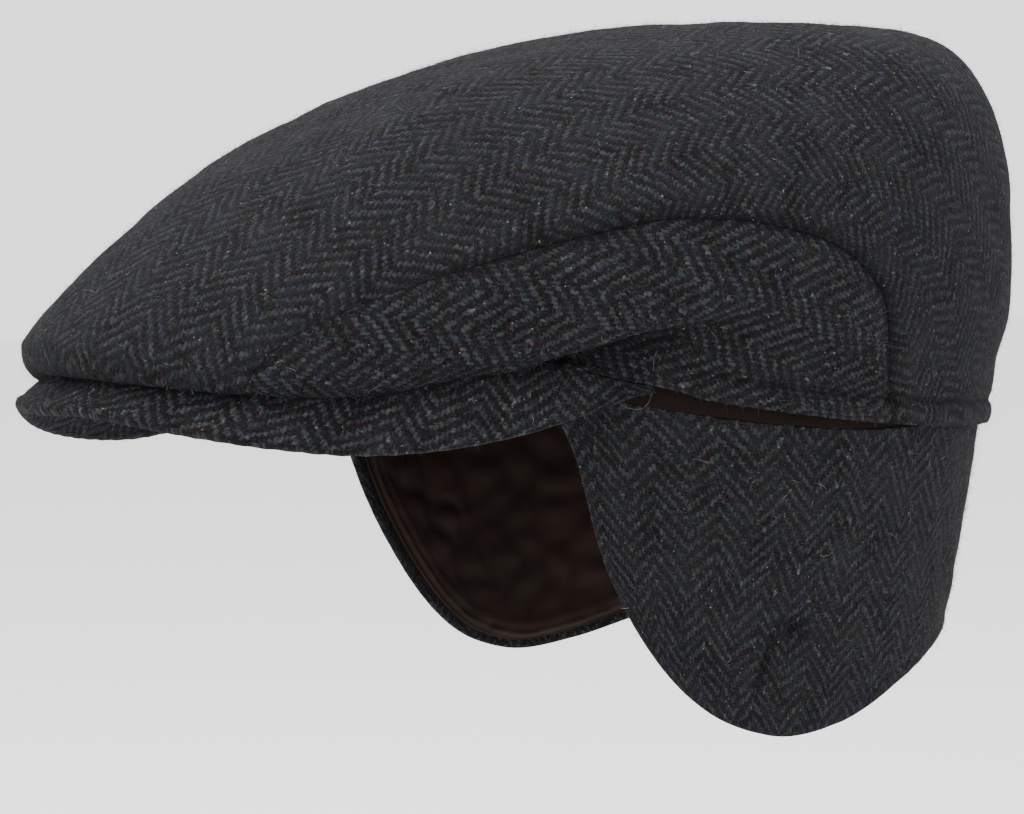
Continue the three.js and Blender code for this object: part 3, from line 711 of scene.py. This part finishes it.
# Short creases behind the pinched fold: hem angle and height of each point, width, depth.
side_creases = [
    ([(80, 0.075), (87.5, 0.11), (96, 0.105)], 3.2, -0.9),
    ([(84, 0.04), (90, 0.075), (100, 0.07)], 4, -0.8),
]
for side, name in ((1, "left"), (-1, "right")):
    start, end = seam_place(np.array([0.0, 1.0]), side, -1)
    start_angle, end_angle = hem_angle_of(start), hem_angle_of(end)
    side_patch = coons(
        lambda v: seam_place(v * seam_front, side, -1),
        lambda v: seam_place(1 + (seam_back - 1) * v, side, -1),
        lambda u: chart(start_angle + (end_angle - start_angle) * u, 0 * u),
        lambda u: seam_place(seam_front + (seam_back - seam_front) * u, side, -1),
    )
    if side < 0:
        turned = side_patch
        side_patch = lambda u, v: turned(1 - u, v)
    own_creases = [([(a * side, h) for a, h in path], w, s) for path, w, s in side_creases]
    panel, face, normals, hollow = crown_panel(
        "side_tweed_" + name, side_patch, counts=(240, 96), grain=-17 * side,
        guide=lambda face: face[..., [2, 1]] * [side, 1], creases=own_creases, seed=31 + side,
        material=crown_tweed,
    )
    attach(panel, "root")
    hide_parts("side_panel_" + name)
    loose_hair("side_hair_" + name, face, normals, count=9000, seed=41 + side, hollow=hollow)

# The peak: a stiff crescent, a board between two layers of tweed, with a rounded edge. Its inner
# edge is sewn in under the front of the hem, and it thins out towards both corners.
peak_thickness, corner_thickness, peak_seam_inset = 4, 1, 2.1
peak_rows_across, normal_step, bluntness = 190, 0.02, 0.92
outs = np.concatenate([np.linspace(0, 0.93, 34), np.linspace(0.94, 1, 10)])
angle = peak_corner_angle * np.linspace(-1, 1, peak_rows_across)[:, None] + np.zeros(len(outs))
out = np.broadcast_to(outs, angle.shape)
top_line = peak_top(angle, out)
limited = np.clip(angle, 1 - peak_corner_angle, peak_corner_angle - 1)
normals = np.cross(
    peak_top(limited + normal_step, out) - peak_top(limited - normal_step, out),
    peak_top(limited, out + normal_step) - peak_top(limited, out - normal_step),
)
normals = unit(normals * np.sign(normals[..., 2:]))
# Along the seam the board's faces are turned level, clear of the tape.
share = smoothstep(out, 0, 0.4)[..., None]
normals = unit(normals * share + np.array([0, 0, 1.0]) * (1 - share))
thinning = smoothstep(np.abs(angle), 40, peak_corner_angle)
thickness = peak_thickness - (peak_thickness - corner_thickness) * thinning
edge = peak_top(peak_corner_angle * np.linspace(-1, 1, 700), np.ones(700))
to_edge = distance_to(top_line, edge)
drop = rounded(to_edge, thickness / 2) * bluntness
relief = 0.25 * unevenness(top_line, 26, 51) + 0.06 * unevenness(top_line, 6, 52)
relief *= smoothstep(to_edge, 0.5, 6)
relief -= soft_line(to_edge, 3.4, 0.9, 0.2)
peak_face = top_line + normals * (relief - drop)[..., None]
peak_back = top_line + normals * (drop - thickness - relief * 0.4)[..., None]
inner_rows = hem_line(angle[:, :1], peak_seam_inset)
inner_rows[..., 2] = top_line[:, :1, 2]
peak_face = np.concatenate([inner_rows, peak_face], 1)
inner_rows[..., 2] -= thickness[:, :1]
peak_back = np.concatenate([inner_rows, peak_back], 1)
peak_flat = cut_flat(peak_face, peak_face[..., :2])
# The grid runs the other way round than the crown's, so its lower face comes first.
peak = sheet_of_cloth("peak_in_tweed", peak_back, peak_face, peak_flat, crown_tweed)
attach(peak, "root")
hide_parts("peak")
loose_hair("peak_hair", peak_face[:, 1:], normals, count=7000, seed=61)
loose_hair("peak_under_hair", peak_back[:, 1:], -normals, count=3000, seed=62)

# The band: a dark brown cotton tape inside the lower edge, of which a narrow strip shows
# between the crown and the earflap.
# The top edge of the earflaps, just below the tape's lower edge: hem angle, depth below the hem.
flap_top_at = smooth_table([
    (0, 1), (57.4, 4), (75, 3.8), (100, 2.3), (108, 1.4), (117, -0.2), (180, -0.6),
])
flap_clearance, flap_width_loss, flap_length_loss, flap_shift = 2.6, 0.147, 0.358, 0.153


def flap_top(angle):
    """How far below the hem the top edge of the earflaps is."""
    return flap_top_at(np.abs(around(angle)))[0]


def flap_point(angle, depth, inset):
    """A point below the hem on the outer face of the earflaps, or that far inside it."""
    turn, below = np.radians(angle), np.maximum(depth, 0)
    half_width = hem_half_width - flap_clearance - flap_width_loss * below - inset
    half_length = hem_half_length - flap_clearance - flap_length_loss * below - inset
    y = flap_shift * below - half_length * np.cos(turn)
    return np.stack([half_width * np.sin(turn), y, hem_line(angle)[..., 2] - depth], -1)


band_height, band_thickness, band_gap = 14, 1.2, 0.15
band_steps, band_rows, mm_per_degree = 300, 24, 1.69
band_shares = 0.5 - 0.5 * np.cos(np.linspace(0, np.pi, band_rows))
band_angle = np.linspace(0, 360, band_steps, endpoint=False)[:, None] + np.zeros(band_rows)
band_low = flap_top(band_angle) - band_gap
band_depth = -band_height + (band_low + band_height) * band_shares
band_round = rounded(band_depth + band_height, 0.5) + rounded(band_low - band_depth, 0.2)
band_face = flap_point(band_angle, band_depth, band_round)
band_back = flap_point(band_angle, band_depth, band_thickness - band_round)
band_flat = np.stack([band_angle * mm_per_degree, band_depth], -1)
# Cotton tape, woven with fine upright ribs: matt, with hardly any shine.
band_cotton, tree, shader = new_material("brown cotton tape")
place = add(tree, "UVMap", uv_map="threads")
stretched = add(tree, "VectorMath", place, (1.0, 0.25, 0.0), operation="MULTIPLY")
ribs = add(tree, "TexWave", stretched, 0.55, 1.5, 2.0, 2.0, out=1)
specks = add(tree, "TexNoise", place, None, 3.0, 3.0, 0.6)
cotton = add(tree, "ValToRGB", specks, steps=[(0.3, "#0d0807"), (0.6, "#150e0c"), (0.8, "#211714")])
bump = add(tree, "Bump", Strength=0.5, Distance=0.0001, Height=ribs)
connect(shader, {"Base Color": cotton, "Normal": bump, "Roughness": 0.9, "Specular IOR Level": 0.05})
band = sheet_of_cloth("band_tape", band_face, band_back, band_flat, band_cotton, ring=True)
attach(band, "root")
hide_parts("inner_band")

# The tweed of the earflaps: one piece round both sides and the back, with a small dart on each
# side and its edge rolled inwards round the lining.
# The front edge of a flap, and its lower edge to the centre back: share of the way, hem angle, depth.
flap_front_at = smooth_table([
    (0, 57.4, 4), (0.3, 59.8, 20.5), (0.65, 60.1, 41.5), (0.86, 60.9, 51), (1, 62.3, 58.5),
], level_ends=False)
flap_bottom_at = smooth_table([
    (0, 62.3, 58.5), (0.03, 63.6, 63), (0.08, 66.6, 70.4), (0.18, 74.8, 79.6), (0.28, 86, 81.9),
    (0.42, 103, 76), (0.56, 122, 64.3), (0.72, 141, 55.5), (0.86, 160, 52), (1, 180, 51),
], level_ends=False)
flap_front_angle = 57.4
right_flap_loss, right_flap_turn = 5.5, 1.2


def flap_patch(margin, rise):
    """The outline of the earflaps as a patch of hem angle and depth, drawn in by a margin and
    raised at the top. The right flap is a little shorter and is turned a little further back."""
    margin_angle = math.degrees(margin / hem_half_width)

    def depth_at(angle, depth):
        shorter = right_flap_loss * smoothstep(angle, 180, 260) * smoothstep(depth, 20, 60)
        return depth - shorter - margin

    def on_side(side, angle):
        turned = right_flap_turn * (1 - smoothstep(angle, 64, 180))
        return angle if side > 0 else 360 - angle - turned

    def front(side):
        def line(v):
            angle, depth = flap_front_at(v)
            angle = on_side(side, angle + margin_angle)
            lowered = smoothstep(v, 0, 0.4)
            depth = (depth - rise) * (1 - lowered) + depth_at(angle, depth) * lowered
            return np.stack([angle, depth], -1)
        return line

    def bottom(u):
        angle, depth = flap_bottom_at(1 - np.abs(2 * u - 1))
        angle = angle + margin_angle * (1 - smoothstep(angle, 64, 90))
        angle = np.where(u < 0.5, on_side(1, angle), on_side(-1, angle))
        return np.stack([angle, depth_at(angle, depth)], -1)

    def high(u):
        start, end = (on_side(side, flap_front_angle + margin_angle) for side in (1, -1))
        angle = start + (end - start) * u
        return np.stack([angle, flap_top(angle) - rise], -1)

    return coons(front(1), front(-1), high, bottom)


def flap_grid(margin, rise, inset, counts):
    """The hem angles, depths and points of a layer of the earflaps."""
    surface = flap_patch(margin, rise)

    def on_cloth(u, v):
        return flap_point(*np.moveaxis(surface(u, v), -1, 0), inset)

    u = even_shares(on_cloth, counts[0], True)
    v = even_shares(on_cloth, counts[1], False)
    grid_u, grid_v = np.meshgrid(u, v, indexing="ij")
    angle, depth = np.moveaxis(surface(grid_u, grid_v), -1, 0)
    return angle, depth, flap_point(angle, depth, inset)


def edge_of(points):
    """The open edge of a grid of earflap points: front edges and lower edge."""
    line = np.concatenate([points[0], points[:, -1], points[-1][::-1]])
    shares = np.linspace(0, len(line) - 1, 3 * len(line))
    return np.stack([np.interp(shares, np.arange(len(line)), column) for column in line.T], -1)


def directions_out(points):
    """The directions out of the cap for a grid of points round its middle."""
    normals = np.cross(np.gradient(points, axis=0), np.gradient(points, axis=1))
    normals /= np.maximum(np.linalg.norm(normals, axis=-1, keepdims=True), 1e-9)
    return normals * np.sign((normals * points).sum(axis=-1, keepdims=True))


measured_column = 20


def length_round(points):
    """How far round the cap each row of a grid of earflap points is, in mm."""
    line = points[:, measured_column]
    return np.cumsum(np.linalg.norm(np.diff(line, axis=0, prepend=line[:1]), axis=-1))


flap_tweed = tweed("napped herringbone tweed", nap=0.75)
flap_thickness, deepest_relief = 2.2, 1.9
angle, depth, face = flap_grid(margin=0, rise=0, inset=0, counts=(400, 84))
normals = directions_out(face)
to_edge = distance_to(face, edge_of(face))
to_top = depth - flap_top(angle)
relief = 0.8 * unevenness(face, 42, 71) + 0.3 * unevenness(face, 17, 72)
relief *= smoothstep(to_edge, 1, 14)
relief += 0.08 * unevenness(face, 6, 73)
relief -= soft_line(to_edge, 4.5, 1.2, 0.3)
# The darts, from the top of each down: hem angle and depth, and which way the front lies. Each has
# a ridge before it, a hollow behind it and a dimple behind its top.
darts = [
    ([(90, 51.5), (88, 58.5), (86, 65.5), (83, 74.5)], -1),
    ([(270, 49), (272, 56), (274, 62), (277, 69.5)], 1),
]
sunk = np.zeros_like(relief)
for dart, forward in darts:
    dart = np.array(dart, float)
    path, ridge, behind = (
        flap_point(*(dart + [shift * forward, 0]).T, 0) for shift in (0, 2.4, -3.4)
    )
    dimple = flap_point(*(dart[0] + [(-1.2 * forward, 1.2), (-3.6 * forward, 2.4)]).T, 0)
    relief += crease(face, ridge, 2.6, 0.9) + crease(face, behind, 5, -0.6)
    sunk += crease(face, path, 1.2, 1.5) + crease(face, dimple, 2.3, 1.9)
relief = np.maximum(relief - sunk, -deepest_relief)
# Painted shade: the darts' sunk lines and dimples are darkened in the colour.
hollow = np.clip((sunk - 0.25) * 0.42, 0, 0.75)
back = face - normals * (flap_thickness - rounded(to_edge, 1.05))[..., None]
face = face + normals * (relief - rounded(to_edge, 1.1) - rounded(to_top, 0.3))[..., None]
flat = np.stack([length_round(face)[:, None] + 0.1 * depth, depth], -1)
flat += 1.3 * np.stack([unevenness(face, 48, 74), unevenness(face, 48, 75)], -1)
shell = sheet_of_cloth("earflaps_tweed", face, back, flat, flap_tweed, hollow=hollow)
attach(shell, "root")
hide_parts("earflap_shell")
loose_hair("earflap_hair", face, normals, count=30000, seed=81)

# Five pale threads that have come loose from the weave. One loops out at the corner of the peak,
# and the others lie nearly flat on the flap and low on the crown.
pale_thread, tree, shader = new_material("pale wool thread")
place = add(tree, "TexCoord", out=3)
twist = add(tree, "TexNoise", place, None, 900.0, 2.0, 0.6)
pale = add(tree, "ValToRGB", twist, steps=[(0.35, "#3a3935"), (0.65, "#5f5d57")])
connect(shader, {"Base Color": pale, "Roughness": 0.8})
thread_radius = 0.00004
# Hem angle, depth below the hem, and how far off the flap. On the crown it is height, not depth.
strays = [
    [flap_point(np.float64(a), np.float64(d), -out) for a, d, out in route]
    for route in (
        [(66.5, 2.5, 0.2), (67.8, 4.2, 1.6), (69.5, 5.6, 2), (71.5, 4.8, 2), (72.6, 2, 2), (73.2, -1.5, 1)],
        [(77.6, 14.9, 0.2), (78.4, 14.6, 1), (79.4, 15.2, 0.9), (80.2, 15.1, 0.1)],
        [(97, 16.3, 0.2), (97.8, 16, 1), (98.6, 16.9, 1), (99.3, 17.4, 0.1)],
    )
] + [
    [crown(np.float64(a), np.float64(h)) + [out, -out, 0] for a, h, out in route]
    for route in (
        [(43.6, 0.035, 0.1), (44, 0.045, 0.7), (44.6, 0.056, 0.7), (45.2, 0.068, 0.1)],
        [(73, 0.018, 0.1), (73.4, 0.03, 0.7), (73.3, 0.042, 0.6), (73.8, 0.052, 0.1)],
    )
]
stray_curve = bpy.data.curves.new("stray_threads", "CURVE")
stray_curve.dimensions = "3D"
stray_curve.bevel_depth = thread_radius
stray_curve.bevel_resolution = 1
for route in strays:
    spline = stray_curve.splines.new("NURBS")
    spline.points.add(len(route) - 1)
    for point, place in zip(spline.points, route):
        point.co = (*(place / 1000), 1)
    spline.order_u = 4
    spline.use_endpoint_u = True
stray_threads = bpy.data.objects.new("stray_threads", stray_curve)
scene.collection.objects.link(stray_threads)
stray_curve.materials.append(pale_thread)
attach(stray_threads, "root")

# The lining: dark brown satin over wadding, quilted in small uneven puffs. It is let down as
# a loose sheet held along the quilting and blown up gently, so that it creases by itself.
angle, depth, plain = flap_grid(margin=3, rise=6, inset=4.5, counts=(330, 62))
inward = -directions_out(plain)
along = length_round(plain)
flat = np.stack([along[:, None] + 0 * depth, depth], -1)
to_edge = distance_to(plain, edge_of(plain))
rng = np.random.default_rng(91)
# Middles of the puffs, hem angle and depth: first those seen inside the right flap, and then a
# grid of others, kept clear of the first.
seen_puffs = [
    (279, 31.5), (280.5, 51.5), (284, 59.5), (272.5, 54), (272.5, 60), (266, 32.5), (256.5, 25),
    (254.5, 36), (261.5, 44), (265, 49), (260, 56), (253, 50.5), (263, 36.5), (287, 41), (270.5, 26),
    (261.5, 23), (287, 32.5), (256.5, 59.5), (277, 65.5), (278.5, 42), (290, 20), (278, 15), (266, 12),
]
curled_puff = (278.5, 42)
puffs = list(seen_puffs)
puff_rows, puff_columns, puff_turn, puff_drop = 7, 31, 8, 12
puff_clearance, puff_mm_per_degree = 9, 1.6
for row in range(puff_rows):
    for column in range(puff_columns):
        puff_angle = 60 + column * puff_turn + puff_turn / 2 * (row % 2) + rng.normal() * 1.6
        puff_depth = 1 + row * puff_drop + rng.normal() * 2.4
        apart = [
            math.hypot((puff_angle - a) * puff_mm_per_degree, puff_depth - d) for a, d in seen_puffs
        ]
        if min(apart) > puff_clearance:
            puffs.append((puff_angle, puff_depth))
flat_puffs = np.array([(np.interp(a, angle[:, measured_column], along), d) for a, d in puffs])
wander = np.stack([unevenness(plain, 15, 92), unevenness(plain, 15, 93)], -1) * 1.5
gaps = np.linalg.norm((flat + wander)[:, :, None] - flat_puffs, axis=-1)
nearest_two = np.sort(gaps, axis=-1)[..., :2]
to_quilting = (nearest_two[..., 1] - nearest_two[..., 0]) / 2
# A border along the edge isn't quilted.
border = 7.5
to_quilting = np.where(to_edge < border, 3 + to_edge, to_quilting)
held = (to_quilting < 0.6) | (to_edge < 1.2)
held[:, :2] = True
start = plain + inward * np.where(held, -0.6, 0.1 + 0.9 * smoothstep(to_quilting, 0.5, 5))[..., None]
start += inward * (rng.normal(size=depth.shape) * 0.05 * ~held)[..., None]


def blown_up(points, held):
    """The loose sheet after it has settled under a light pressure, in mm."""
    rows, columns = points.shape[:2]
    number = np.arange(rows * columns).reshape(rows, columns)
    quads = np.stack([number[:-1, :-1], number[:-1, 1:], number[1:, 1:], number[1:, :-1]], -1)
    mesh = bpy.data.meshes.new("satin")
    mesh.from_pydata((points.reshape(-1, 3) / 1000).tolist(), [], quads.reshape(-1, 4).tolist())
    sheet = bpy.data.objects.new("satin", mesh)
    scene.collection.objects.link(sheet)
    group = sheet.vertex_groups.new(name="held")
    group.add(np.flatnonzero(held.ravel()).tolist(), 1.0, "REPLACE")
    cloth = sheet.modifiers.new("cloth", "CLOTH")
    cloth.settings.quality = 6
    cloth.settings.mass = 0.15
    cloth.settings.tension_stiffness = 12
    cloth.settings.compression_stiffness = 12
    cloth.settings.shear_stiffness = 4
    cloth.settings.bending_stiffness = 0.4
    cloth.settings.shrink_min = -0.03
    cloth.settings.use_pressure = True
    cloth.settings.uniform_pressure_force = 1.5
    cloth.settings.vertex_group_mass = "held"
    cloth.settings.effector_weights.gravity = 0
    cloth.collision_settings.use_collision = False
    last_frame = 28
    cloth.point_cache.frame_start, cloth.point_cache.frame_end = 1, last_frame
    for frame_number in range(1, last_frame + 1):
        scene.frame_set(frame_number)
    ready = sheet.evaluated_get(bpy.context.evaluated_depsgraph_get())
    moved = np.zeros(rows * columns * 3, np.float32)
    ready.data.vertices.foreach_get("co", moved)
    scene.frame_set(1)
    bpy.data.objects.remove(sheet)
    bpy.data.meshes.remove(mesh)
    return moved.reshape(rows, columns, 3).astype(float) * 1000


face = blown_up(start, held)
# The wadding under the satin takes the sharp creases off, and two rows of stitches run along
# the edge. One short curl is quilted near the front of the right flap.
moved = face - plain
for _ in range(2):
    moved[1:-1] = (moved[:-2] + 2 * moved[1:-1] + moved[2:]) / 4
    moved[:, 1:-1] = (moved[:, :-2] + 2 * moved[:, 1:-1] + moved[:, 2:]) / 4
sewn = soft_line(to_edge, 2.8, 1.1, 0.5) + soft_line(to_edge, 6.2, 1.1, 0.35)
curl_radius = 5.2
from_curl = flat - flat_puffs[puffs.index(curled_puff)]
bearing = np.degrees(np.arctan2(-from_curl[..., 1], -from_curl[..., 0]))
curl = soft_line(np.linalg.norm(from_curl, axis=-1), curl_radius, 1.2, 0.6)
sewn += curl * smoothstep(bearing, -60, -20) * (1 - smoothstep(bearing, 90, 130))
face = plain + moved * 0.9 - inward * sewn[..., None]
# Painted shade where the satin lies quilted down.
raised = ((face - plain) * inward).sum(axis=-1)
hollow = np.clip((0.7 - raised) / 1.5, 0, 1) * 0.5
lining_thickness = 2.0
back = plain - inward * lining_thickness
# Satin, woven with long floats: a soft sheen on the puffs, and painted shade where it is quilted down.
satin, tree, shader = new_material("brown quilted satin")
place = add(tree, "UVMap", uv_map="threads")
stain = add(tree, "TexNoise", place, None, 0.05, 2.0, 0.5)
brown = add(tree, "ValToRGB", stain, steps=[(0.35, "#1a1613"), (0.5, "#1e1614"), (0.7, "#221816")])
painted_shade = add(tree, "Attribute", attribute_name="hollow", out=2)
brown = add(tree, "Mix", painted_shade, A_Color=brown, B_Color=linear("#080605"), data_type="RGBA", out=2)
floats = add(tree, "VectorMath", place, (3.0, 14.0, 0), operation="MULTIPLY")
weave = add(tree, "TexNoise", floats, None, 1.0, 2.0, 0.5)
bump = add(tree, "Bump", Strength=0.25, Distance=0.00006, Height=weave)
connect(shader, {
    "Base Color": brown, "Normal": bump, "Roughness": 0.6, "Specular IOR Level": 0.12,
    "Specular Tint": linear("#c9a99c"),
})
lining = sheet_of_cloth("quilted_lining", back, face, flat, satin, hollow_back=hollow)
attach(lining, "root")
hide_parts("earflap_lining")

# The studio: a pale plain floor well below the cap, soft lights over it and white all round.
floor_half, floor_z = 6, -0.26
corners = [(x * floor_half, y * floor_half, floor_z) for x, y in ((-1, -1), (1, -1), (1, 1), (-1, 1))]
floor_mesh = bpy.data.meshes.new("floor")
floor_mesh.from_pydata(corners, [], [(0, 1, 2, 3)])
floor = bpy.data.objects.new("floor", floor_mesh)
scene.collection.objects.link(floor)
floor_paint, _, shader = new_material("white floor")
connect(shader, {"Base Color": linear("#f4f4f3"), "Roughness": 0.9})
floor.data.materials.append(floor_paint)
world = bpy.data.worlds.new("studio")
scene.world = world
world.use_nodes = True
connect(world.node_tree.nodes["Background"], {"Color": (1, 1, 1, 1), "Strength": 1.9})
# Soft boxes: place, size in m, watts.
for name, spot, size, power in (
    ("overhead", (0.1, -0.3, 1.5), 1.2, 44),
    ("key", (0.9, -1.0, 0.9), 0.9, 9),
):
    lamp = bpy.data.lights.new(name, "AREA")
    lamp.size, lamp.energy = size, power
    light_object = bpy.data.objects.new(name, lamp)
    scene.collection.objects.link(light_object)
    light_object.location = spot
    light_object.rotation_euler = (-Vector(spot)).to_track_quat("-Z", "Y").to_euler()
